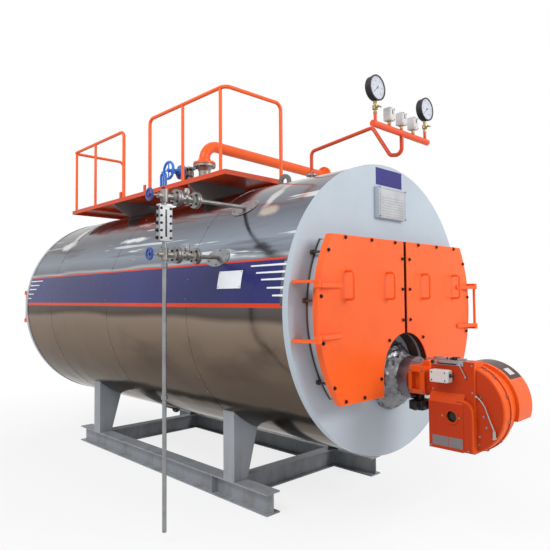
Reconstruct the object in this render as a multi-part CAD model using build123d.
from build123d import *
import os
from math import sqrt

# Horizontal three-pass fire-tube steam boiler on a welded skid, with a forced-draught burner.
# Millimetres. X runs along the boiler towards the burner, Y across it, Z up.
# The origin is at floor level under the middle of the front cross beam.

# Boiler shell
shell_radius = 1000.0
body_length = 4114.0
axis_height = 1410.0
front_setback = 1015.0
cladding_inset = 3.0
cladding_thickness = 8.0
end_plate_thickness = 16.0
rim_depth = 45.0
rim_thickness = 12.0
tube_sheet_thickness = 24.0
tube_sheet_inset = 52.0
joint_gap = 0.3

# Skid; its places are set back from the two end plates
rail_front_inset = 560.0
rail_rear_inset = 664.0
rail_height = 150.0
rail_width = 125.0
rail_half_gauge = 592.5
flange_thickness = 10.0
web_thickness = 8.0
rib_inset = 1187.0
cross_beam_width = 100.0
front_beam_x = 0.0
rear_beam_inset = 1029.0
front_leg_inset = 968.0
rear_leg_inset = 1037.0
leg_width = 125.0
leg_plate = 12.0
leg_foot_depth = 127.0
leg_flare = 0.281
leg_head_overlap = 100.0

# Smoke boxes and their doors
smoke_box_inset = 160.0
smoke_box_crown_drop = 570.0
smoke_box_belly_rise = 460.0
smoke_box_wall = 10.0
smoke_box_depth = 94.0
door_lap = 55.0
door_level_lap = 25.0
door_thickness = 44.0
door_bevel = 3.0
door_seal_gap = 1.0
door_centre_gap = 30.0
lining_thickness = 20.0
lining_inset = 40.0
throat_radius = 265.0
throat_rise = 110.0
throat_wall_gap = 6.0

# Door hinges, clamps and handles
hinge_stand_off = 28.0
hinge_inset = 68.0
hinge_arm_height = 170.0
hinge_arm_thickness = 16.0
hinge_arm_foot_inset = (115.0, 30.0)
hinge_arm_half_tip = 18.0
knuckle_radius = 22.0
knuckle_height = 26.0
knuckle_gap = 1.0
hinge_pin_radius = 10.0
hinge_pin_clearance = 0.5
strap_length = 240.0
strap_root_depth = 18.0
strap_tip_depth = 12.0
handle_reach = 60.0
handle_length = 170.0
handle_radius = 8.0
handle_bend = 22.0
handle_height = 150.0
handle_y_places = (640.0, 215.0)
clamp_offset = 28.0
clamp_level = 60.0
clamp_end_drops = (80.0, 110.0)
clamp_bar_radius = 8.0
clamp_nut_radius = 15.0
clamp_nut_height = 18.0
clamp_clearance = 7.0

# Flue outlet and inspection cover on the rear end plate
flue_crown_drop = 310.0
flue_radius = 160.0
flue_wall = 6.0
flue_length = 180.0
flue_flange_width = 45.0
flue_flange_thickness = 12.0
cover_belly_rise = 240.0
cover_neck_radius = 150.0
cover_neck_length = 40.0
cover_radius = 185.0
cover_thickness = 18.0

# Service deck and handrails; shares are parts of the deck's length, from its nearer end
deck_rise = 103.0
deck_front_y = -530.0
deck_back_y = 125.0
deck_rear_inset = 124.0
deck_front_inset = 1154.0
deck_plate = 4.0
deck_rim_height = 40.0
deck_rim_thickness = 5.0
slot_margin = 10.0
deck_stiffener_shares = (0.1463, 0.4884, 0.7493)
deck_stiffener_thickness = 5.0
deck_stiffener_depth = 28.0
valve_slot_half_width = 65.0
lug_slot_half_width = 85.0
lug_slot_front = -25.0
bracket_thickness = 10.0
bracket_insets = (990.0, 506.0)
bracket_seat_y = -340.0
bracket_heel = 60.0
bracket_back_drop = 150.0
bracket_nose = 25.0
handrail_radius = 16.0
handrail_post_radius = 14.0
handrail_rise = 677.0
handrail_bend = 60.0
rear_post_shares = (0.1946, 0.4168)
front_post_shares = (0.2144, 0.4066)
ladder_plate_height = 60.0
ladder_plate_width = 40.0
ladder_plate_thickness = 8.0
ladder_plate_shares = (0.3949, 0.4397)

# Lifting lugs
front_lug_x = 0.0
rear_lug_inset = 1015.0
lug_rise = 47.0
lug_radius = 68.0
lug_hole = 33.0
lug_thickness = 20.0
lug_pad_half_length = 95.0
lug_pad_half_width = 45.0
lug_pad_thickness = 8.0

# Steam outlet; offsets along the boiler run from the middle of the body
nozzle_offset = -83.0
nozzle_radius = 57.0
nozzle_flange_rise = 396.0
nozzle_hub_height = 42.0
nozzle_hub_radius = 80.0
flange_radius = 110.0
steam_flange_thickness = 22.0
steam_pipe_radius = 54.0
steam_pipe_bore = 50.0
steam_elbow_radius = 152.0
steam_pipe_rise = 605.0
steam_pipe_reach = 1800.0
steam_pipe_fall = 50.0
outlet_hole_count = 8
outlet_hole_circle = 180.0
outlet_hole_radius = 9.0

# Pressure instruments
siphon_x = 304.0
siphon_radius = 14.0
siphon_neck_radius = 17.0
siphon_flange_rise = 60.0
siphon_flange_radius = 46.0
siphon_flange_thickness = 12.0
siphon_bend_rise = 245.0
siphon_peak_x = 900.0
siphon_peak_rise = 302.0
siphon_drop_x = 1048.0
siphon_loop_rise = 71.0
siphon_loop_fall = 14.0
siphon_bends = (40.0, 40.0, 38.0, 44.0)
manifold_x = 1143.0
manifold_rise = 205.0
manifold_radius = 22.0
manifold_half_length = 335.0
siphon_socket_depth = 5.0
stub_radius = 11.0
stub_height = 45.0
gauge_y = 304.0
gauge_radius = 80.0
gauge_depth = 50.0
gauge_rise = 440.0
bezel_radius = 84.0
bezel_depth = 12.0
dial_radius = 74.0
dial_recess = 5.0
gauge_case_edge = 6.0
cock_radius = 10.0
cock_nut_radius = 14.0
cock_nut_height = 13.0
cock_body_radius = 18.0
cock_body_height = 26.0
cock_key_radius = 6.0
cock_key_reach = 34.0
cock_bar_radius = 5.0
cock_bar_half_length = 20.0
switch_spacing = 145.0
switch_width = 58.0
switch_height = 88.0
switch_rise = 258.0
switch_neck = 22.0
switch_neck_radius = 13.0
switch_edge = 5.0
switch_window = (12.0, 30.0, 2.0)
switch_window_drop = 30.0

# Water level gauge
level_x = 285.0
level_crown_drop = 278.0
level_span = 368.0
level_column_reach = 355.0
level_pipe_radius = 13.5
level_flange_radius = 53.0
level_flange_thickness = 14.0
level_inner_flange_reach = 110.0
level_outer_flange_reach = 262.0
level_flange_gap = 3.0
level_hub_radius = 26.0
level_hub_length = 12.0
level_neck_radius = 19.0
level_body_radius = 31.0
level_body_half_length = 18.0
level_body_shoulder = 9.0
level_bonnet_reach = 185.0
level_bonnet_radius = 15.0
level_bonnet_nut_radius = 21.0
level_bonnet_nut = (34.0, 48.0)
level_bonnet_height = 70.0
level_column_radius = 24.0
level_column_low = -38.0
level_column_high = 42.0
level_gland_radius = 17.0
level_gland_length = 48.0
level_stem_radius = 7.0
level_wheel_reach = 462.0
level_wheel_radius = 35.0
level_wheel_rim = 5.0
level_hub_half_length = 9.0
level_wheel_hub = 11.0
level_wheel_spoke = 3.5
glass_frame = (40.0, 100.0, 225.0)
glass_frame_drop = 60.0
glass_neck_radius = 15.0
glass_slit = (14.0, 172.0, 6.0)
glass_edge = 6.0
drain_wall = 3.0
drain_end_z = 60.0

# Nameplate mount
nameplate_y = 20.0
nameplate_crown_drop = 270.0
nameplate_size = (35.0, 326.0, 216.0)

# Burner; lengths run forward from the front end plate, heights from the blast tube's axis
burner_drop = 30.0
plug_clearance = 33.0
plug_depth = 60.0
plug_neck_radius = 165.0
blast_tube_radius = 130.0
blast_tube_x = (150.0, 200.0)
head_flange_thickness = 22.0
head_flange_lip = 8.0
head_end = 341.0
head_half_width = 118.0
head_half_height = 92.0
head_corner = 40.0
head_pocket_x = (248.0, 306.0)
head_pocket_half_height = 56.0
head_pocket_depth = 45.0
head_lug_length = 46.0
head_lug_half_width = 60.0
head_lug_height = 36.0
head_lug_edge = 8.0
neck_half_width = 100.0
neck_half_height = 84.0
neck_corner = 30.0
casing_x = 622.0
casing_drop = 120.0
casing_radius = 258.0
casing_left_reach = 185.0
casing_front_y = -185.0
casing_edge = 14.0
rim_flange_y = (-112.0, -85.0)
rim_flange_lip = 6.0
rim_boss_radius = 12.0
rim_boss_length = 10.0
rim_boss_angles = (62.0, 47.0, 20.0, -12.0, -40.0, -62.0)
casing_bottom = 245.0
cover_face_y = -200.0
cover_reach = 94.0
cover_edge = 5.0
cover_top_lip = 16.0
chest_face_y = -235.0
chest_right_reach = 33.0
chest_levels = (30.0, 85.0)
boss_face_y = -230.0
boss_radius = 75.0
boss_centre_drop = 20.0
boss_edge = 12.0
port_offset = 37.0
port_drop = 47.0
port_radius = 33.0
port_lip = 12.0
port_lip_height = 6.0
port_depth = 30.0
fan_neck_radius = 236.0
hood_y = (20.0, 225.0)
hood_radius = 254.0
hood_cut = 76.0
hood_edge = 18.0
servo_x = (467.0, 585.0)
servo_depth = 75.0
servo_foot = 8.0
servo_levels = (30.0, 104.0)
servo_edge = 9.0
servo_foot_inset = 14.0
gas_valve_x = (196.0, 300.0)
gas_valve_y = (-78.0, 58.0)
gas_valve_drop = 196.0
gas_valve_neck_radius = 24.0
gas_valve_neck_height = 50.0
gas_valve_edge = 10.0
rod_offsets = ((106.0, 84.0), (132.0, 59.0), (154.0, 29.0), (180.0, -42.0), (203.0, -96.0))
rod_stand_off = 20.0
rod_radius = 4.0
rod_bends = (12.0, 12.0, 40.0)
rod_boot_radius = 9.0
rod_boot_drop = 42.0
rod_post_radius = 7.0

# Valves on the crown of the shell
valve_offset = -338.0
valve_rise = 350.0
valve_neck_radius = 30.0
valve_body_radius = 46.0
valve_body_half_length = 62.0
valve_flange_radius = 62.0
valve_flange_thickness = 16.0
valve_bonnet_radius = 34.0
valve_bonnet_end = 84.0
valve_yoke_end = 200.0
valve_yoke_radius = 9.0
valve_yoke_half_width = 30.0
valve_bridge = 18.0
valve_bridge_length = 92.0
valve_stem_radius = 9.0
valve_wheel_reach = 250.0
valve_wheel_radius = 94.0
valve_wheel_rim = 9.0
valve_hub_radius = 18.0
valve_hub_half_length = 14.0
valve_spoke = 7.0
vent_valve_offset = -828.0
vent_rise = 440.0
vent_neck_radius = 28.0
vent_flange_radius = 55.0
vent_flange_thickness = 16.0
vent_yoke_height = 170.0
vent_yoke_half_width = 42.0
vent_yoke_bar = 16.0
vent_yoke_bend = 26.0
vent_body_radius = 40.0
vent_body_half_length = 60.0
vent_cap_radius = 17.0
vent_stem_radius = 9.0
vent_stem_reach = 30.0

# Blowdown pipe
blowdown_offset = -848.0
blowdown_radius = 20.0
blowdown_drop = 55.0
blowdown_reach = 260.0
blowdown_bend = 45.0
blowdown_root = 30.0
blowdown_flange_radius = 45.0
blowdown_flange_thickness = 16.0

# Places worked out from the driving sizes
front_x = front_setback
rear_x = front_x - body_length
middle_x = front_x - body_length / 2
nozzle_x = middle_x + nozzle_offset
valve_x = middle_x + valve_offset
vent_valve_x = middle_x + vent_valve_offset
blowdown_x = middle_x + blowdown_offset
crown_z = axis_height + shell_radius
belly_z = axis_height - shell_radius
cladding_radius = shell_radius - cladding_inset
bed_radius = cladding_radius + joint_gap
leg_face_y = rail_half_gauge + rail_width / 2
smoke_box_radius = shell_radius - smoke_box_inset
smoke_box_top = shell_radius - smoke_box_crown_drop
smoke_box_bottom = smoke_box_belly_rise - shell_radius
door_radius = smoke_box_radius + door_lap
door_top = smoke_box_top + door_level_lap
door_bottom = smoke_box_bottom - door_level_lap
door_back = smoke_box_depth + door_seal_gap
door_face = door_back + door_thickness
throat_centre = smoke_box_bottom + throat_rise
tunnel_inner = throat_radius + throat_wall_gap
tunnel_outer = tunnel_inner + smoke_box_wall
hinge_x = door_face + hinge_stand_off
hinge_y = shell_radius - hinge_inset
front_leg_x = front_x - front_leg_inset
rear_leg_x = rear_x + rear_leg_inset
rear_beam_x = rear_x + rear_beam_inset
deck_top = crown_z + deck_rise
deck_rear_x = rear_x + deck_rear_inset
deck_front_x = front_x - deck_front_inset
deck_length = deck_front_x - deck_rear_x
bracket_x_places = (deck_rear_x + bracket_insets[0], deck_front_x - bracket_insets[1])
rear_lug_x = rear_x + rear_lug_inset
handrail_top = deck_top + handrail_rise
burner_z = throat_centre - burner_drop
burner_axis_z = axis_height + burner_z


def block(x_range, y_range, z_range):
    """A box between two values on each axis."""
    (x0, x1), (y0, y1), (z0, z1) = x_range, y_range, z_range
    centre = Pos((x0 + x1) / 2, (y0 + y1) / 2, (z0 + z1) / 2)
    return centre * Box(x1 - x0, y1 - y0, z1 - z0)


def around(value, half_width):
    """The range that reaches the same way to both sides of a value."""
    return (value - half_width, value + half_width)


def rod(start, end, radius, bore=0.0):
    """A round bar, or a tube when it has a bore, between two points."""
    start, end = Vector(*start), Vector(*end)
    seat = Plane(origin=start, z_dir=end - start)
    length = (end - start).length
    solid = extrude(seat * Circle(radius), length)
    if bore > 0:
        solid -= extrude(seat * Circle(bore), length)
    return solid


def rod_x(x_range, y_value, z_value, radius, bore=0.0):
    """A round bar or tube along X."""
    x0, x1 = x_range
    return rod((x0, y_value, z_value), (x1, y_value, z_value), radius, bore)


def rod_y(x_value, y_range, z_value, radius, bore=0.0):
    """A round bar or tube along Y."""
    y0, y1 = y_range
    return rod((x_value, y0, z_value), (x_value, y1, z_value), radius, bore)


def rod_z(x_value, y_value, z_range, radius, bore=0.0):
    """A round bar or tube along Z."""
    z0, z1 = z_range
    return rod((x_value, y_value, z0), (x_value, y_value, z1), radius, bore)


def bent_bar(points, bends, radius, bore=0.0):
    """A round bar or tube that follows straight runs joined by tangent arcs."""
    path = FilletPolyline(*points, radius=bends)
    section = Plane(origin=path @ 0, z_dir=path % 0)
    solid = sweep(section * Circle(radius), path=path)
    if bore > 0:
        solid -= sweep(section * Circle(bore), path=path)
    return solid


def turned(start, direction, stations):
    """A turned piece: distances along its axis, each with the radius there."""
    origin, way = Vector(*start), Vector(*direction)
    across = Vector(0, 0, 1) if abs(way.X) > abs(way.Z) else Vector(1, 0, 0)
    stations = [(stations[0][0], 0), *stations, (stations[-1][0], 0)]
    corners = [origin + way * distance + across * radius for distance, radius in stations]
    return revolve(make_face(Polyline(*corners, close=True)), Axis(start, direction))


def hex_nut(start, direction, height, radius):
    """A hexagonal nut on an axis, its corners at the radius."""
    seat = Plane(origin=start, z_dir=direction)
    return extrude(seat * RegularPolygon(radius, 6), height)


def handwheel(centre, radius, rim, hub, spoke):
    """A handwheel on an axis along Y: an eight-sided rim, four spokes and a hub (radius, half length)."""
    x_value, y_value, z_value = centre
    section = Plane(origin=centre) * Pos(radius - rim, 0) * RegularPolygon(rim, 8)
    wheel = revolve(section, Axis(centre, (0, 1, 0)))
    wheel += rod_y(x_value, around(y_value, hub[1]), z_value, hub[0])
    wheel += rod_x(around(x_value, radius - rim), y_value, z_value, spoke)
    return wheel + rod_z(x_value, y_value, around(z_value, radius - rim), spoke)


def along_x(x_value):
    """A plane across the boiler axis, seen from the burner end."""
    return Plane(origin=(x_value, 0, axis_height), x_dir=(0, 1, 0), z_dir=(1, 0, 0))


def cut_disc(radius, top, bottom):
    """A circle cut off level at the top and the bottom, on the boiler axis."""
    return Circle(radius) & Pos(0, (top + bottom) / 2) * Rectangle(2.2 * radius, top - bottom)


def arch(radius, bottom):
    """The burner throat: a round-topped opening that runs down to a level."""
    legs = throat_centre - bottom
    round_top = Pos(0, throat_centre) * Circle(radius)
    return round_top + Pos(0, throat_centre - legs / 2) * Rectangle(2 * radius, legs)


def shell_bed(x_value, half_width):
    """The round of the cladding under a piece that sits on it."""
    return rod_x(around(x_value, half_width), 0, axis_height, bed_radius)


def shell_stub(x_value, radius, top):
    """A round neck that stands on the crown of the cladding."""
    neck = rod_z(x_value, 0, (axis_height, top), radius)
    return neck - shell_bed(x_value, 2 * radius)


def write(node, shape):
    export_step(shape, f"parts/{node}.step")


os.makedirs("parts", exist_ok=True)


# Cladding: the polished sheet over the insulation, open at both ends
cladding = rod_x((rear_x + rim_depth, front_x - rim_depth), 0, axis_height,
                 cladding_radius, cladding_radius - cladding_thickness)
write("cladding", cladding)


# The smoke box outline, outside and inside its wall
box_outer = cut_disc(smoke_box_radius, smoke_box_top, smoke_box_bottom)
box_inner = cut_disc(smoke_box_radius - smoke_box_wall, smoke_box_top - smoke_box_wall,
                     smoke_box_bottom + smoke_box_wall)
throat_foot = smoke_box_bottom - 2 * smoke_box_wall
throat_block = arch(tunnel_outer, throat_foot)
throat_hole = arch(tunnel_inner, throat_foot)


def end_plate(face_x, inward, opening):
    """A flat end with a turned-back rim and an opening into its smoke box."""
    plate_back = face_x + inward * end_plate_thickness
    disc = rod_x((face_x, plate_back), 0, axis_height, shell_radius)
    rim = rod_x((plate_back, face_x + inward * rim_depth), 0, axis_height,
                shell_radius, shell_radius - rim_thickness)
    cutter = extrude(along_x(face_x) * opening, 2 * end_plate_thickness, both=True)
    return disc + rim - cutter


write("front_end_plate", end_plate(front_x, -1, box_inner - throat_block))
write("rear_end_plate", end_plate(rear_x, 1, box_inner))


# Tube sheets: they close the shell behind each smoke box
tube_sheet_radius = shell_radius - tube_sheet_inset
for name, face_x, inward in (("front", front_x, -1), ("rear", rear_x, 1)):
    sheet_face = face_x + inward * end_plate_thickness
    sheet_back = sheet_face + inward * tube_sheet_thickness
    write(f"{name}_tube_sheet", rod_x((sheet_face, sheet_back), 0, axis_height, tube_sheet_radius))


# Smoke boxes: rings of plate, the front one with an arched tunnel for the burner
tunnel_ring = (throat_block - throat_hole) & box_outer
front_ring = (box_outer - box_inner - throat_hole) + tunnel_ring
write("front_smoke_box", extrude(along_x(front_x) * front_ring, smoke_box_depth))
rear_ring = box_outer - box_inner
write("rear_smoke_box", extrude(along_x(rear_x - smoke_box_depth) * rear_ring, smoke_box_depth))


# Flue outlet above the rear doors, and the furnace inspection cover below them
flue_z = crown_z - flue_crown_drop
flue_bore = flue_radius - flue_wall
flue_end = rear_x - flue_length
flue = rod_x((rear_x, flue_end), 0, flue_z, flue_radius, flue_bore)
flue += rod_x((flue_end, flue_end - flue_flange_thickness), 0, flue_z,
              flue_radius + flue_flange_width, flue_bore)
write("flue_outlet", flue)
cover_z = belly_z + cover_belly_rise
cover_back = rear_x - cover_neck_length
cover = rod_x((rear_x, cover_back), 0, cover_z, cover_neck_radius)
cover += rod_x((cover_back, cover_back - cover_thickness), 0, cover_z, cover_radius)
write("inspection_cover", cover)


def door_leaf(side, radius, top, bottom):
    """The outline of one leaf: side is -1 for the left leaf and 1 for the right one."""
    half = Pos(side * (door_centre_gap / 2 + radius), 0) * Rectangle(2 * radius, 3 * radius)
    return cut_disc(radius, top, bottom) & half


def hinge_arm_set(face_x, outward, side):
    """Two fixed arms from the end plate and the pin that they hold."""
    pivot_x = face_x + outward * hinge_x
    pivot_y = side * hinge_y
    foot_in, foot_out = [shell_radius - inset for inset in hinge_arm_foot_inset]
    outline = Polyline((face_x, side * foot_in), (face_x, side * foot_out),
                       (pivot_x, pivot_y + side * hinge_arm_half_tip),
                       (pivot_x, pivot_y - side * hinge_arm_half_tip), close=True)
    arms = rod_z(pivot_x, pivot_y, around(axis_height, hinge_arm_height), hinge_pin_radius)
    for level in (-1, 1):
        middle_z = axis_height + level * hinge_arm_height
        seat = Plane(origin=(0, 0, middle_z - hinge_arm_thickness / 2))
        arms += extrude(seat * make_face(outline), hinge_arm_thickness)
        arms += extrude(seat * Pos(pivot_x, pivot_y) * Circle(knuckle_radius), hinge_arm_thickness)
    return arms


def hinge_straps(face_x, outward, side):
    """Two tapered straps on the door face, each ending in a knuckle round the pin."""
    pivot_x = face_x + outward * hinge_x
    pivot_y = side * hinge_y
    front = face_x + outward * door_face
    tip_y = side * (hinge_y - strap_length)
    edge_y = side * (hinge_y - knuckle_radius)
    outline = Polyline((pivot_x, pivot_y), (pivot_x + outward * strap_root_depth, edge_y),
                       (front + outward * strap_tip_depth, tip_y), (front, tip_y),
                       (front, edge_y), close=True)
    inner_level = hinge_arm_height - hinge_arm_thickness / 2 - knuckle_gap
    straps = []
    for z_low in (axis_height + inner_level - knuckle_height, axis_height - inner_level):
        seat = Plane(origin=(0, 0, z_low))
        strap = extrude(seat * make_face(outline), knuckle_height)
        strap += extrude(seat * Pos(pivot_x, pivot_y) * Circle(knuckle_radius), knuckle_height)
        bore = hinge_pin_radius + hinge_pin_clearance
        strap -= extrude(seat * Pos(pivot_x, pivot_y) * Circle(bore), knuckle_height)
        straps.append(strap)
    return straps


def c_handle(x_value, y_value, z_value):
    """A bar bent into a C, standing out from a door face."""
    reach = x_value + handle_reach
    low, high = around(z_value, handle_length / 2)
    points = [(x_value, y_value, low), (reach, y_value, low),
              (reach, y_value, high), (x_value, y_value, high)]
    return bent_bar(points, handle_bend, handle_radius)


# Doors: two leaves at each end, on pins at their outer edges
rear_doors = []
for name, side in (("left", -1), ("right", 1)):
    outline = door_leaf(side, door_radius, door_top, door_bottom)
    front_outline = outline - arch(throat_radius, door_bottom - smoke_box_wall)
    panel = extrude(along_x(front_x + door_back) * front_outline, door_thickness)
    front_edges = panel.faces().sort_by(Axis.X)[-1].edges()
    write(f"{name}_door_panel", chamfer(front_edges, door_bevel))

    lining_outline = door_leaf(side, smoke_box_radius - lining_inset, smoke_box_top - lining_inset,
                               smoke_box_bottom + lining_inset)
    lining_outline -= arch(tunnel_outer + lining_inset / 2, smoke_box_bottom)
    lining_back = front_x + door_back - lining_thickness
    write(f"{name}_door_lining", extrude(along_x(lining_back) * lining_outline, lining_thickness))

    fittings = hinge_straps(front_x, 1, side)
    for handle_y in handle_y_places:
        fittings.append(c_handle(front_x + door_face, side * handle_y, axis_height + handle_height))
    write(f"{name}_door_fittings", Compound(children=fittings))
    write(f"{name}_hinge_arms", hinge_arm_set(front_x, 1, side))

    rear_doors.append(extrude(along_x(rear_x - door_face) * outline, door_thickness))
    rear_doors.append(hinge_arm_set(rear_x, -1, side))
    rear_doors.extend(hinge_straps(rear_x, -1, side))
write("rear_doors", Compound(children=rear_doors))


# Clamp posts on the front end plate, close behind the edge of each leaf
clamps = []
clamp_radius = smoke_box_radius + clamp_offset
clamp_heights = (smoke_box_top - clamp_end_drops[0], clamp_level, smoke_box_bottom + clamp_end_drops[1])
for side in (-1, 1):
    for height in clamp_heights:
        clamp_y = side * sqrt(clamp_radius ** 2 - height ** 2)
        clamp_z = axis_height + height
        clamp = rod_x((front_x, front_x + door_back - clamp_clearance), clamp_y, clamp_z, clamp_bar_radius)
        clamp += rod_x((front_x, front_x + clamp_nut_height), clamp_y, clamp_z, clamp_nut_radius)
        clamps.append(clamp)
write("door_clamps", Compound(children=clamps))


def h_section(width, height):
    """The outline of an H beam."""
    notch_width = (width - web_thickness) / 2
    profile = Rectangle(width, height)
    for side in (-1, 1):
        notch = Pos(side * (web_thickness + notch_width) / 2, 0)
        profile -= notch * Rectangle(notch_width, height - 2 * flange_thickness)
    return profile


# Skid: two rails with cross beams between them, all of H section
rail_rear = rear_x + rail_rear_inset
rail_length = front_x - rail_front_inset - rail_rear
rib_x = front_x - rib_inset
for name, side in (("left", -1), ("right", 1)):
    seat = Plane(origin=(rail_rear, side * rail_half_gauge, rail_height / 2),
                 x_dir=(0, 1, 0), z_dir=(1, 0, 0))
    rail = extrude(seat * h_section(rail_width, rail_height), rail_length)
    rib_y = sorted((side * (rail_half_gauge + web_thickness / 2), side * leg_face_y))
    rail += block((rib_x, rib_x + web_thickness), rib_y, (flange_thickness, rail_height - flange_thickness))
    write(f"{name}_rail", rail)

beam_half_length = rail_half_gauge - rail_width / 2
web_reach = rail_half_gauge - web_thickness / 2
cross_beams = []
for x_value in (front_beam_x, rear_beam_x):
    seat = Plane(origin=(x_value, -beam_half_length, rail_height / 2), x_dir=(1, 0, 0), z_dir=(0, 1, 0))
    beam = extrude(seat * h_section(cross_beam_width, rail_height), 2 * beam_half_length)
    beam += block(around(x_value, web_thickness / 2), (-web_reach, web_reach),
                  (flange_thickness, rail_height - flange_thickness))
    cross_beams.append(beam)
write("cross_beams", Compound(children=cross_beams))


def saddle_leg(x_value, side):
    """A leg of folded plate: a flat outer face and two cheeks that flare up to the shell."""
    face = side * leg_face_y
    foot = side * (leg_face_y - leg_foot_depth)
    foot_level = rail_height - axis_height
    head_level = leg_head_overlap - sqrt(bed_radius ** 2 - leg_face_y ** 2)
    head = foot - side * leg_flare * (head_level - foot_level)
    outline = Polyline((face, foot_level), (foot, foot_level), (head, head_level),
                       (face, head_level), close=True)
    leg = extrude(along_x(x_value - leg_width / 2) * make_face(outline), leg_width)
    hollow_y = sorted((side * (leg_face_y - leg_plate), 0.0))
    leg -= block(around(x_value, leg_width / 2 - leg_plate), hollow_y, (0, axis_height))
    return leg - shell_bed(x_value, leg_width)


write("front_legs", Compound(children=[saddle_leg(front_leg_x, side) for side in (-1, 1)]))
write("rear_legs", Compound(children=[saddle_leg(rear_leg_x, side) for side in (-1, 1)]))


# Service deck: a plate with a turned-down rim, stiffeners, and slots for what stands through it
deck_bottom = deck_top - deck_rim_height
deck_slot_z = (deck_bottom - slot_margin, deck_top + slot_margin)
deck_slot_back = deck_back_y + slot_margin
deck = block((deck_rear_x, deck_front_x), (deck_front_y, deck_back_y), (deck_bottom, deck_top))
deck -= block((deck_rear_x + deck_rim_thickness, deck_front_x - deck_rim_thickness),
              (deck_front_y + deck_rim_thickness, deck_back_y - deck_rim_thickness),
              (deck_bottom - slot_margin, deck_top - deck_plate))
nozzle_slot = flange_radius + slot_margin
deck -= block(around(nozzle_x, nozzle_slot), (-nozzle_slot, deck_slot_back), deck_slot_z)
for slot_x in (valve_x, vent_valve_x):
    deck -= block(around(slot_x, valve_slot_half_width), (-valve_slot_half_width, deck_slot_back),
                  deck_slot_z)
deck -= block(around(rear_lug_x, lug_slot_half_width), (lug_slot_front, deck_slot_back), deck_slot_z)
for share in deck_stiffener_shares:
    deck += block(around(deck_rear_x + share * deck_length, deck_stiffener_thickness / 2),
                  (deck_front_y + deck_rim_thickness, deck_back_y - deck_rim_thickness),
                  (deck_top - deck_plate - deck_stiffener_depth, deck_top - deck_plate))
for x_value in (deck_rear_x + ladder_plate_shares[0] * deck_length,
                deck_front_x - ladder_plate_shares[1] * deck_length):
    deck += block((x_value, x_value + ladder_plate_width),
                  (deck_front_y, deck_front_y + ladder_plate_thickness),
                  (deck_bottom, deck_top + ladder_plate_height))
write("service_deck", deck)


def deck_bracket(x_value):
    """A plate under the deck that bridges from its front edge over the top of the shell."""
    front = deck_front_y + deck_rim_thickness + joint_gap
    back = deck_back_y - deck_rim_thickness - joint_gap
    top = deck_top - deck_plate - axis_height
    low = deck_bottom - axis_height
    seat_z = sqrt(cladding_radius ** 2 - bracket_seat_y ** 2)
    outline = Polyline((front, top), (back, top), (back, low - bracket_back_drop),
                       (bracket_seat_y, seat_z - bracket_heel), (bracket_seat_y, seat_z),
                       (front, low - bracket_nose), close=True)
    plate = extrude(along_x(x_value) * make_face(outline), bracket_thickness)
    return plate - shell_bed(x_value, 2 * bracket_thickness)


write("deck_brackets", Compound(children=[deck_bracket(x_value) for x_value in bracket_x_places]))


def handrail(corner_x, end_x, mid_x):
    """A top rail that bends down into a post at both ends, with posts at its corner and middle."""
    front_y = deck_front_y + handrail_radius
    back_y = deck_back_y - handrail_radius
    points = [(end_x, front_y, deck_top), (end_x, front_y, handrail_top), (corner_x, front_y, handrail_top),
              (corner_x, back_y, handrail_top), (corner_x, back_y, deck_top)]
    frame = bent_bar(points, handrail_bend, handrail_radius)
    inward = 1 if end_x > corner_x else -1
    for post_x in (corner_x + inward * handrail_bend, mid_x):
        frame += rod_z(post_x, front_y, (deck_top, handrail_top), handrail_post_radius)
    return frame


# Handrails: two bent frames with a way in between them
rear_posts = [deck_rear_x + share * deck_length for share in rear_post_shares]
front_posts = [deck_front_x - share * deck_length for share in front_post_shares]
write("rear_handrail", handrail(deck_rear_x + handrail_radius, rear_posts[1], rear_posts[0]))
write("front_handrail", handrail(deck_front_x - handrail_radius, front_posts[1], front_posts[0]))


def lifting_lug(x_value):
    """A round plate with a shackle hole, upright on a pad that follows the shell."""
    seat = Plane(origin=(x_value, lug_thickness / 2, crown_z + lug_rise), x_dir=(1, 0, 0), z_dir=(0, -1, 0))
    outline = Circle(lug_radius) + Pos(0, -lug_radius) * Rectangle(2 * lug_radius, 2 * lug_radius)
    lug = extrude(seat * (outline - Circle(lug_hole)), lug_thickness)
    pad_x = around(x_value, lug_pad_half_length)
    pad = rod_x(pad_x, 0, axis_height, bed_radius + lug_pad_thickness)
    pad &= block(pad_x, around(0, lug_pad_half_width), (axis_height, 2 * crown_z))
    return lug + pad - shell_bed(x_value, 2 * lug_radius)


# Lifting lugs on the crown of the shell
write("lifting_lugs", Compound(children=[lifting_lug(x_value) for x_value in (front_lug_x, rear_lug_x)]))


# Steam outlet: nozzle, flanged elbow and pipe
nozzle_top = crown_z + nozzle_flange_rise
nozzle_hub = [(0, flange_radius), (steam_flange_thickness, flange_radius),
              (steam_flange_thickness, nozzle_hub_radius),
              (steam_flange_thickness + nozzle_hub_height, nozzle_radius)]
steam_nozzle = shell_stub(nozzle_x, nozzle_radius, nozzle_top - steam_flange_thickness)
steam_nozzle += turned((nozzle_x, 0, nozzle_top), (0, 0, -1), nozzle_hub)
write("steam_nozzle", steam_nozzle)

pipe_start = nozzle_top + joint_gap
steam_pipe_z = crown_z + steam_pipe_rise
steam_points = [(nozzle_x, 0, pipe_start), (nozzle_x, 0, steam_pipe_z),
                (nozzle_x, steam_pipe_reach, steam_pipe_z - steam_pipe_fall)]
outlet = Vector(*steam_points[2])
steam_elbow, steam_run = FilletPolyline(*steam_points, radius=steam_elbow_radius).edges()[1:]
elbow_end = steam_run @ 0
outlet_seat = Plane(origin=outlet, x_dir=(1, 0, 0), z_dir=elbow_end - outlet)


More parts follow.
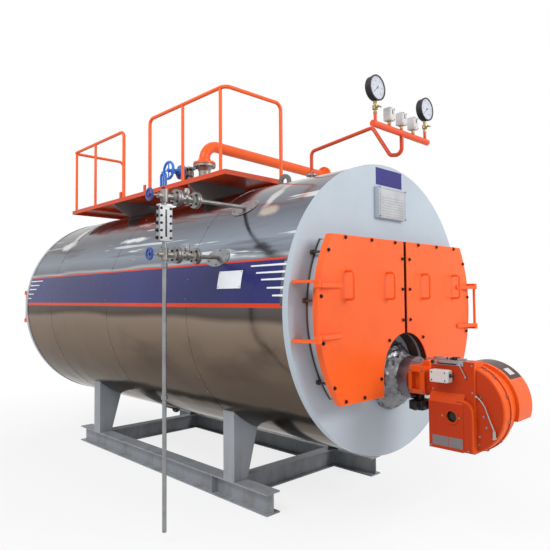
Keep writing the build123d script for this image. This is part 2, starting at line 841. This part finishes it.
def steam_way(radius):
    """The rise, the elbow and the straight run of the steam pipe as one solid bar."""
    seat = Plane(origin=steam_elbow @ 0, z_dir=steam_elbow % 0)
    bar = rod(steam_points[0], tuple(steam_elbow @ 0), radius)
    bar += sweep(seat * Circle(radius), path=steam_elbow)
    return bar + rod(tuple(elbow_end), steam_points[2], radius)


steam_pipe = steam_way(steam_pipe_radius)
steam_pipe += turned((nozzle_x, 0, pipe_start), (0, 0, 1), nozzle_hub)
outlet_holes = PolarLocations(outlet_hole_circle / 2, outlet_hole_count) * Circle(outlet_hole_radius)
steam_pipe += extrude(outlet_seat * (Circle(flange_radius) - outlet_holes), steam_flange_thickness)
steam_pipe -= steam_way(steam_pipe_bore)
write("steam_pipe", steam_pipe)


# Pressure line: flanged nozzle, siphon loop and manifold
siphon_flange_z = crown_z + siphon_flange_rise
flange_low = siphon_flange_z - siphon_flange_thickness
flange_high = siphon_flange_z + joint_gap
gauge_nozzle = shell_stub(siphon_x, siphon_neck_radius, flange_low)
gauge_nozzle += rod_z(siphon_x, 0, (flange_low, siphon_flange_z), siphon_flange_radius)
write("gauge_nozzle", gauge_nozzle)

manifold_z = crown_z + manifold_rise
siphon_loop_z = crown_z + siphon_loop_rise
socket_z = manifold_z - manifold_radius + siphon_socket_depth
siphon_points = [(siphon_x, 0, flange_high), (siphon_x, 0, crown_z + siphon_bend_rise),
                 (siphon_peak_x, 0, crown_z + siphon_peak_rise), (siphon_drop_x, 0, siphon_loop_z),
                 (manifold_x, 0, siphon_loop_z - siphon_loop_fall),
                 (manifold_x, 0, socket_z - joint_gap)]
siphon = bent_bar(siphon_points, list(siphon_bends), siphon_radius)
siphon += rod_z(siphon_x, 0, (flange_high, flange_high + siphon_flange_thickness), siphon_flange_radius)
write("siphon_pipe", siphon)

stub_top = manifold_z + manifold_radius + stub_height
switch_z = crown_z + switch_rise
switch_foot = switch_z - switch_neck
gauge_y_places = (-gauge_y, gauge_y)
switch_y_places = (-switch_spacing, 0.0, switch_spacing)
manifold = rod_y(manifold_x, (-manifold_half_length, manifold_half_length), manifold_z, manifold_radius)
for y_value in gauge_y_places:
    manifold += rod_z(manifold_x, y_value, (manifold_z, stub_top), stub_radius)
for y_value in switch_y_places:
    manifold += rod_z(manifold_x, y_value, (manifold_z, switch_foot), stub_radius)
manifold -= rod_z(manifold_x, 0, (socket_z - 2 * manifold_radius, socket_z), siphon_radius + joint_gap)
write("manifold", manifold)


def pressure_switch(y_value):
    """A moulded box with rounded edges and an upright window on its front."""
    body = block(around(manifold_x, switch_width / 2), around(y_value, switch_width / 2),
                 (switch_z, switch_z + switch_height))
    body = fillet(body.edges(), switch_edge)
    width, height, depth = switch_window
    window_x = manifold_x + switch_width / 2
    window_z = switch_z + switch_height - switch_window_drop
    return body - block(around(window_x, depth), around(y_value, width / 2), around(window_z, height / 2))


def gauge_cock(y_value):
    """A plug cock between a stub and a gauge: two nuts, a body, and a key with a cross bar."""
    foot = (manifold_x, y_value, stub_top)
    rise = gauge_z - bezel_radius - stub_top
    cock = rod(foot, (manifold_x, y_value, stub_top + rise), cock_radius)
    cock += hex_nut(foot, (0, 0, 1), cock_nut_height, cock_nut_radius)
    upper_nut = stub_top + rise - cock_nut_height
    cock += hex_nut((manifold_x, y_value, upper_nut), (0, 0, 1), cock_nut_height, cock_nut_radius)
    key_z = stub_top + rise / 2
    cock += rod_z(manifold_x, y_value, around(key_z, cock_body_height / 2), cock_body_radius)
    key_end = manifold_x + cock_key_reach
    cock += rod_x((manifold_x, key_end), y_value, key_z, cock_key_radius)
    return cock + rod_y(key_end, around(y_value, cock_bar_half_length), key_z, cock_bar_radius)


# Instruments on the manifold: three pressure switches between two dial gauges on cocks
write("pressure_switches", Compound(children=[pressure_switch(y_value) for y_value in switch_y_places]))
gauge_z = crown_z + gauge_rise
gauge_outline = [(0, dial_radius), (gauge_case_edge, gauge_radius), (gauge_depth - bezel_depth, gauge_radius),
                 (gauge_depth - bezel_depth, bezel_radius), (gauge_depth, bezel_radius),
                 (gauge_depth, dial_radius), (gauge_depth - dial_recess, dial_radius)]
gauge_back = manifold_x - gauge_depth / 2
gauges = []
for y_value in gauge_y_places:
    gauge = turned((gauge_back, y_value, gauge_z), (1, 0, 0), gauge_outline)
    stem_z = (gauge_z - bezel_radius, gauge_z - dial_radius)
    gauges.append(gauge + rod_z(manifold_x, y_value, stem_z, cock_radius))
write("pressure_gauges", Compound(children=gauges))
cocks = [gauge_cock(y_value) for y_value in gauge_y_places]
for y_value in switch_y_places:
    cocks.append(hex_nut((manifold_x, y_value, switch_foot), (0, 0, 1), switch_neck, switch_neck_radius))
write("instrument_cocks", Compound(children=cocks))


# Water level gauge on the left side of the shell; its lengths run outward, to -Y
level_heights = (crown_z - level_crown_drop, crown_z - level_crown_drop - level_span)
level_column_y = -shell_radius - level_column_reach
level_inner_y = -shell_radius - level_inner_flange_reach
level_outer_y = -shell_radius - level_outer_flange_reach
level_bonnet_y = -shell_radius - level_bonnet_reach
level_wheel_y = -shell_radius - level_wheel_reach


def level_pipe(z_value):
    """The pipe from the shell to the first flange of one level valve."""
    pipe = rod_y(level_x, (0, level_inner_y), z_value, level_pipe_radius)
    pipe -= shell_bed(level_x, 2 * level_flange_radius)
    return pipe + rod_y(level_x, around(level_inner_y, level_flange_thickness / 2), z_value,
                        level_flange_radius)


def hub_flange(y_value, outward, z_value):
    """A flange on the level gauge's line, with a hub that tapers down to the neck."""
    stations = [(0, level_flange_radius), (level_flange_thickness, level_flange_radius),
                (level_flange_thickness, level_hub_radius),
                (level_flange_thickness + level_hub_length, level_neck_radius)]
    return turned((level_x, y_value, z_value), (0, outward, 0), stations)


def level_valve(z_value):
    """A flanged valve with its bonnet, the column head with its gland, and the stem."""
    first = level_inner_y - level_flange_thickness / 2
    valve = rod_y(level_x, (first, level_column_y), z_value, level_neck_radius)
    outer_pair = level_outer_y - level_flange_gap
    valve += hub_flange(first, -1, z_value)
    valve += hub_flange(level_outer_y, 1, z_value)
    valve += hub_flange(outer_pair, -1, z_value)
    swell = level_body_half_length - level_body_shoulder
    body = [(-level_body_half_length, level_neck_radius), (-swell, level_body_radius),
            (swell, level_body_radius), (level_body_half_length, level_neck_radius)]
    valve += turned((level_x, level_bonnet_y, z_value), (0, -1, 0), body)
    nut_low, nut_high = level_bonnet_nut
    bonnet = [(0, level_bonnet_radius), (nut_low, level_bonnet_radius), (nut_low, level_bonnet_nut_radius),
              (nut_high, level_bonnet_nut_radius), (level_bonnet_height, level_bonnet_radius)]
    valve += turned((level_x, level_bonnet_y, z_value), (0, 0, 1), bonnet)
    valve += rod_z(level_x, level_column_y, (z_value + level_column_low, z_value + level_column_high),
                   level_column_radius)
    gland_end = level_column_y - level_gland_length
    valve += rod_y(level_x, (level_column_y, gland_end), z_value, level_gland_radius)
    return valve + rod_y(level_x, (gland_end, level_wheel_y + level_hub_half_length), z_value,
                         level_stem_radius)


write("level_pipes", Compound(children=[level_pipe(z_value) for z_value in level_heights]))
write("level_valves", Compound(children=[level_valve(z_value) for z_value in level_heights]))
level_wheels = [handwheel((level_x, level_wheel_y, z_value), level_wheel_radius, level_wheel_rim,
                          (level_wheel_hub, level_hub_half_length), level_wheel_spoke)
                for z_value in level_heights]
write("level_handwheels", Compound(children=level_wheels))

upper_neck = level_heights[0] + level_column_low
lower_neck = level_heights[1] + level_column_high
glass_frame_top = level_heights[0] - glass_frame_drop
glass_frame_bottom = glass_frame_top - glass_frame[2]
glass = block(around(level_x, glass_frame[0] / 2), around(level_column_y, glass_frame[1] / 2),
              (glass_frame_bottom, glass_frame_top))
glass = chamfer(glass.edges().filter_by(Axis.Z), glass_edge)
slit_width, slit_height, slit_depth = glass_slit
glass -= block(around(level_x + glass_frame[0] / 2, slit_depth), around(level_column_y, slit_width / 2),
               around((glass_frame_bottom + glass_frame_top) / 2, slit_height / 2))
for neck_z in ((lower_neck, glass_frame_bottom), (glass_frame_top, upper_neck)):
    glass += rod_z(level_x, level_column_y, neck_z, glass_neck_radius)
write("level_gauge_glass", glass)

drain_z = (drain_end_z, level_heights[1] + level_column_low)
drain_bore = level_pipe_radius - drain_wall
write("drain_pipe", rod_z(level_x, level_column_y, drain_z, level_pipe_radius, drain_bore))


# Nameplate mount on the front end plate
plate_depth, plate_width, plate_rise = nameplate_size
nameplate_z = crown_z - nameplate_crown_drop
write("nameplate_box", block((front_x, front_x + plate_depth), around(nameplate_y, plate_width / 2),
                             around(nameplate_z, plate_rise / 2)))


def ahead(x_range):
    """A range measured from the front end plate."""
    return (front_x + x_range[0], front_x + x_range[1])


def burner_level(z_range):
    """A range measured up from the blast tube's axis."""
    return (burner_axis_z + z_range[0], burner_axis_z + z_range[1])


# Burner: plug in the furnace mouth, blast tube and head
plug_radius = throat_radius - plug_clearance
plug = rod_x(ahead((0, plug_depth)), 0, burner_axis_z, plug_radius)
plug += rod_x(ahead((plug_depth, blast_tube_x[0])), 0, burner_axis_z, plug_neck_radius)
write("burner_plug", plug)
write("blast_tube", rod_x(ahead(blast_tube_x), 0, burner_axis_z, blast_tube_radius))

head_start = blast_tube_x[1] + head_flange_thickness
head_seat = Plane(origin=(front_x + head_start, 0, burner_axis_z), x_dir=(0, 1, 0), z_dir=(1, 0, 0))
head_outline = RectangleRounded(2 * head_half_width, 2 * head_half_height, head_corner)
head = extrude(head_seat * head_outline, head_end - head_start)
head -= block(ahead(head_pocket_x), (-2 * head_half_width, head_pocket_depth - head_half_width),
              around(burner_axis_z, head_pocket_half_height))
head += rod_x(ahead((blast_tube_x[1], head_start)), 0, burner_axis_z, blast_tube_radius + head_flange_lip)
head_lug = block(ahead((head_end - head_lug_length, head_end)), around(0, head_lug_half_width),
                 burner_level((0, head_half_height + head_lug_height)))
head += chamfer(head_lug.faces().sort_by(Axis.Z)[-1].edges(), head_lug_edge)
write("burner_head", head)


def casing_plane(y_value):
    """A plane across the fan's axis: its X runs to the boiler's +X, its normal to -Y."""
    return Plane(origin=(front_x + casing_x, y_value, casing_z), x_dir=(1, 0, 0), z_dir=(0, -1, 0))


def casing_round(radius, left_reach, bottom):
    """A disc about the fan's axis, cut off upright on the left and level at the bottom."""
    window = Pos(radius - left_reach, radius - bottom) * Rectangle(2 * radius, 2 * radius)
    return Circle(radius) & window


# Burner housing: the neck from the head, and the cover with its chest, round shoulder and port
casing_z = burner_axis_z - casing_drop
housing_left = casing_x - casing_left_reach
housing_right = casing_x + cover_reach
neck_seat = Plane(origin=(front_x + head_end, 0, burner_axis_z), x_dir=(0, 1, 0), z_dir=(1, 0, 0))
neck_outline = RectangleRounded(2 * neck_half_width, 2 * neck_half_height, neck_corner)
housing_bottom = casing_z - casing_bottom
housing_top = casing_z + casing_radius + cover_top_lip
cover_block = block(ahead((housing_left, housing_right)), (cover_face_y, rim_flange_y[1]),
                    (housing_bottom, housing_top))
housing = fillet(cover_block.edges().filter_by(Axis.Z).sort_by(Axis.Y)[:2], cover_edge)
chest_outline = Polyline((rim_flange_y[0], -casing_bottom), (rim_flange_y[0], chest_levels[1]),
                         (cover_face_y, chest_levels[1]), (chest_face_y, chest_levels[0]),
                         (chest_face_y, -casing_bottom), close=True)
chest_seat = Plane(origin=(front_x + housing_left, 0, casing_z), x_dir=(0, 1, 0), z_dir=(1, 0, 0))
housing += extrude(chest_seat * make_face(chest_outline), casing_left_reach + chest_right_reach)
shoulder_height = casing_bottom - boss_centre_drop
shoulder_outline = Pos(cover_reach - boss_radius, -boss_centre_drop) * Circle(boss_radius)
shoulder_outline += Pos(cover_reach - boss_radius, -boss_centre_drop - shoulder_height / 2) * \
    Rectangle(2 * boss_radius, shoulder_height)
shoulder = extrude(casing_plane(rim_flange_y[0]) * shoulder_outline, rim_flange_y[0] - boss_face_y)
housing += fillet(shoulder.faces().sort_by(Axis.Y)[0].edges(), boss_edge)
port_centre = (front_x + casing_x - port_offset, casing_z - port_drop)
port_face = (chest_face_y - port_lip_height, chest_face_y)
housing += rod_y(port_centre[0], port_face, port_centre[1], port_radius + port_lip)
housing -= rod_y(port_centre[0], (port_face[0], chest_face_y + port_depth), port_centre[1], port_radius)
neck = extrude(neck_seat * neck_outline, housing_left - head_end)
write("burner_housing", housing + neck)


# Burner fan: the scroll with its bolted rim and its neck, and the hood over the air intake
scroll_outline = casing_round(casing_radius, casing_left_reach, casing_radius)
scroll = extrude(casing_plane(rim_flange_y[1]) * scroll_outline, rim_flange_y[1] - casing_front_y)
scroll = fillet(scroll.faces().sort_by(Axis.Y)[0].edges(), casing_edge)
rim_outline = casing_round(casing_radius + rim_flange_lip, casing_left_reach, casing_radius + rim_flange_lip)
scroll += extrude(casing_plane(rim_flange_y[1]) * rim_outline, rim_flange_y[1] - rim_flange_y[0])
for angle in rim_boss_angles:
    seat = casing_plane(rim_flange_y[0]) * Rot(0, 0, angle) * Pos(casing_radius, 0)
    scroll += extrude(seat * Circle(rim_boss_radius), rim_boss_length)
scroll -= block(ahead((0, housing_right)), (2 * casing_front_y, rim_flange_y[1]),
                around(casing_z, 2 * casing_radius))
fan_neck = casing_round(fan_neck_radius, casing_left_reach, fan_neck_radius)
scroll += extrude(casing_plane(hood_y[0]) * fan_neck, hood_y[0] - rim_flange_y[1])
write("burner_volute", scroll)

hood = extrude(casing_plane(hood_y[1]) * casing_round(hood_radius, casing_left_reach, hood_cut),
               hood_y[1] - hood_y[0])
write("intake_drum", fillet(hood.faces().sort_by(Axis.Y)[-1].edges(), hood_edge))


# Burner fittings: damper motor, gas valve under the head, control rod and cables
servo_front = cover_face_y - servo_depth
servo = block(ahead(servo_x), (servo_front, cover_face_y - servo_foot), burner_level(servo_levels))
servo = fillet(servo.edges(), servo_edge)
foot_levels = (servo_levels[0] + servo_foot_inset, servo_levels[1] - servo_foot_inset)
servo += block(ahead((servo_x[0] + servo_foot_inset, servo_x[1] - servo_foot_inset)),
               (cover_face_y - servo_foot, cover_face_y), burner_level(foot_levels))
write("servo_box", servo)

gas_valve_top = head_half_height + gas_valve_neck_height
gas_valve = block(ahead(gas_valve_x), gas_valve_y, burner_level((-gas_valve_drop, -gas_valve_top)))
gas_valve = fillet(gas_valve.edges().filter_by(Axis.Z), gas_valve_edge)
gas_valve += rod_z(front_x + sum(gas_valve_x) / 2, sum(gas_valve_y) / 2,
                   burner_level((-gas_valve_top, -head_half_height)), gas_valve_neck_radius)
write("gas_valve", gas_valve)

rod_y_value = casing_front_y - rod_stand_off
rod_points = [(front_x + casing_x + out, rod_y_value, casing_z + up) for out, up in rod_offsets]
control_rod = bent_bar(rod_points, list(rod_bends), rod_radius)
boot_end = (rod_points[-1][0], rod_y_value, rod_points[-1][2] - rod_boot_drop)
control_rod += rod(rod_points[-1], boot_end, rod_boot_radius)
for post in (rod_points[0], boot_end):
    control_rod += rod_y(post[0], (rod_y_value - rod_post_radius, casing_front_y), post[2], rod_post_radius)
write("control_rod", control_rod)


# Steam stop valve beside the nozzle, its yoke and handwheel to the front
valve_z = crown_z + valve_rise
swell = valve_body_radius / 2
valve_stations = [(-valve_body_half_length, valve_flange_radius),
                  (valve_flange_thickness - valve_body_half_length, valve_flange_radius),
                  (valve_flange_thickness - valve_body_half_length, valve_neck_radius),
                  (-swell, valve_body_radius), (swell, valve_body_radius),
                  (valve_body_half_length - valve_flange_thickness, valve_neck_radius),
                  (valve_body_half_length - valve_flange_thickness, valve_flange_radius),
                  (valve_body_half_length, valve_flange_radius)]
stop_valve = shell_stub(valve_x, valve_neck_radius, valve_z - valve_body_half_length)
stop_valve += turned((valve_x, 0, valve_z), (0, 0, 1), valve_stations)
stop_valve += rod_y(valve_x, (0, -valve_bonnet_end), valve_z, valve_bonnet_radius)
write("stop_valve", stop_valve)
yoke_end_y = -valve_yoke_end
stem_end = valve_hub_half_length - valve_wheel_reach
yoke = rod_y(valve_x, (-valve_bonnet_end, stem_end), valve_z, valve_stem_radius)
for side in (-1, 1):
    yoke += rod_y(valve_x + side * valve_yoke_half_width, (-valve_bonnet_end, yoke_end_y), valve_z,
                  valve_yoke_radius)
for y_value in (-valve_bonnet_end, yoke_end_y + valve_bridge):
    yoke += extrude(Plane(origin=(valve_x, y_value, valve_z), x_dir=(1, 0, 0), z_dir=(0, -1, 0)) *
                    SlotOverall(valve_bridge_length, 2 * valve_hub_radius), valve_bridge)
write("stop_valve_yoke", yoke)
write("stop_valve_handwheel", handwheel((valve_x, -valve_wheel_reach, valve_z), valve_wheel_radius,
                                        valve_wheel_rim, (valve_hub_radius, valve_hub_half_length),
                                        valve_spoke))


# Vent valve further back: a flanged body with an upright yoke
vent_top = crown_z + vent_rise
yoke_foot = vent_top - vent_yoke_height
vent_swell = vent_body_radius / 2
vent_middle = yoke_foot - vent_body_half_length
vent_body = shell_stub(vent_valve_x, vent_neck_radius, vent_middle)
vent_stations = [(-vent_body_half_length, vent_flange_radius),
                 (vent_flange_thickness - vent_body_half_length, vent_flange_radius),
                 (vent_flange_thickness - vent_body_half_length, vent_neck_radius),
                 (-vent_swell, vent_body_radius), (vent_swell, vent_body_radius),
                 (vent_body_half_length - vent_flange_thickness, vent_neck_radius),
                 (vent_body_half_length - vent_flange_thickness, vent_flange_radius),
                 (vent_body_half_length, vent_flange_radius)]
vent_body += turned((vent_valve_x, 0, vent_middle), (0, 0, 1), vent_stations)
write("vent_valve_body", vent_body)
vent_reach = vent_top - vent_yoke_bar / 2
arms_x = around(vent_valve_x, vent_yoke_half_width)
vent_valve = bent_bar([(arms_x[0], 0, yoke_foot), (arms_x[0], 0, vent_reach),
                       (arms_x[1], 0, vent_reach), (arms_x[1], 0, yoke_foot)],
                      vent_yoke_bend, vent_yoke_bar / 2)
vent_valve += rod_z(vent_valve_x, 0, (yoke_foot, vent_top + vent_stem_reach), vent_stem_radius)
vent_valve += rod_z(vent_valve_x, 0, (vent_top - vent_yoke_bar, vent_top), vent_cap_radius)
write("vent_valve", vent_valve)


# Blowdown pipe under the belly of the shell
blowdown_z = belly_z - blowdown_drop
blowdown_end = blowdown_x + blowdown_reach
blowdown_head = axis_height - cladding_radius + blowdown_root
blowdown_points = [(blowdown_x, 0, blowdown_head), (blowdown_x, 0, blowdown_z),
                   (blowdown_end, 0, blowdown_z)]
blowdown = bent_bar(blowdown_points, blowdown_bend, blowdown_radius)
blowdown -= shell_bed(blowdown_x, blowdown_reach)
blowdown += rod_x((blowdown_end, blowdown_end + blowdown_flange_thickness), 0, blowdown_z,
                  blowdown_flange_radius)
write("blowdown_pipe", blowdown)
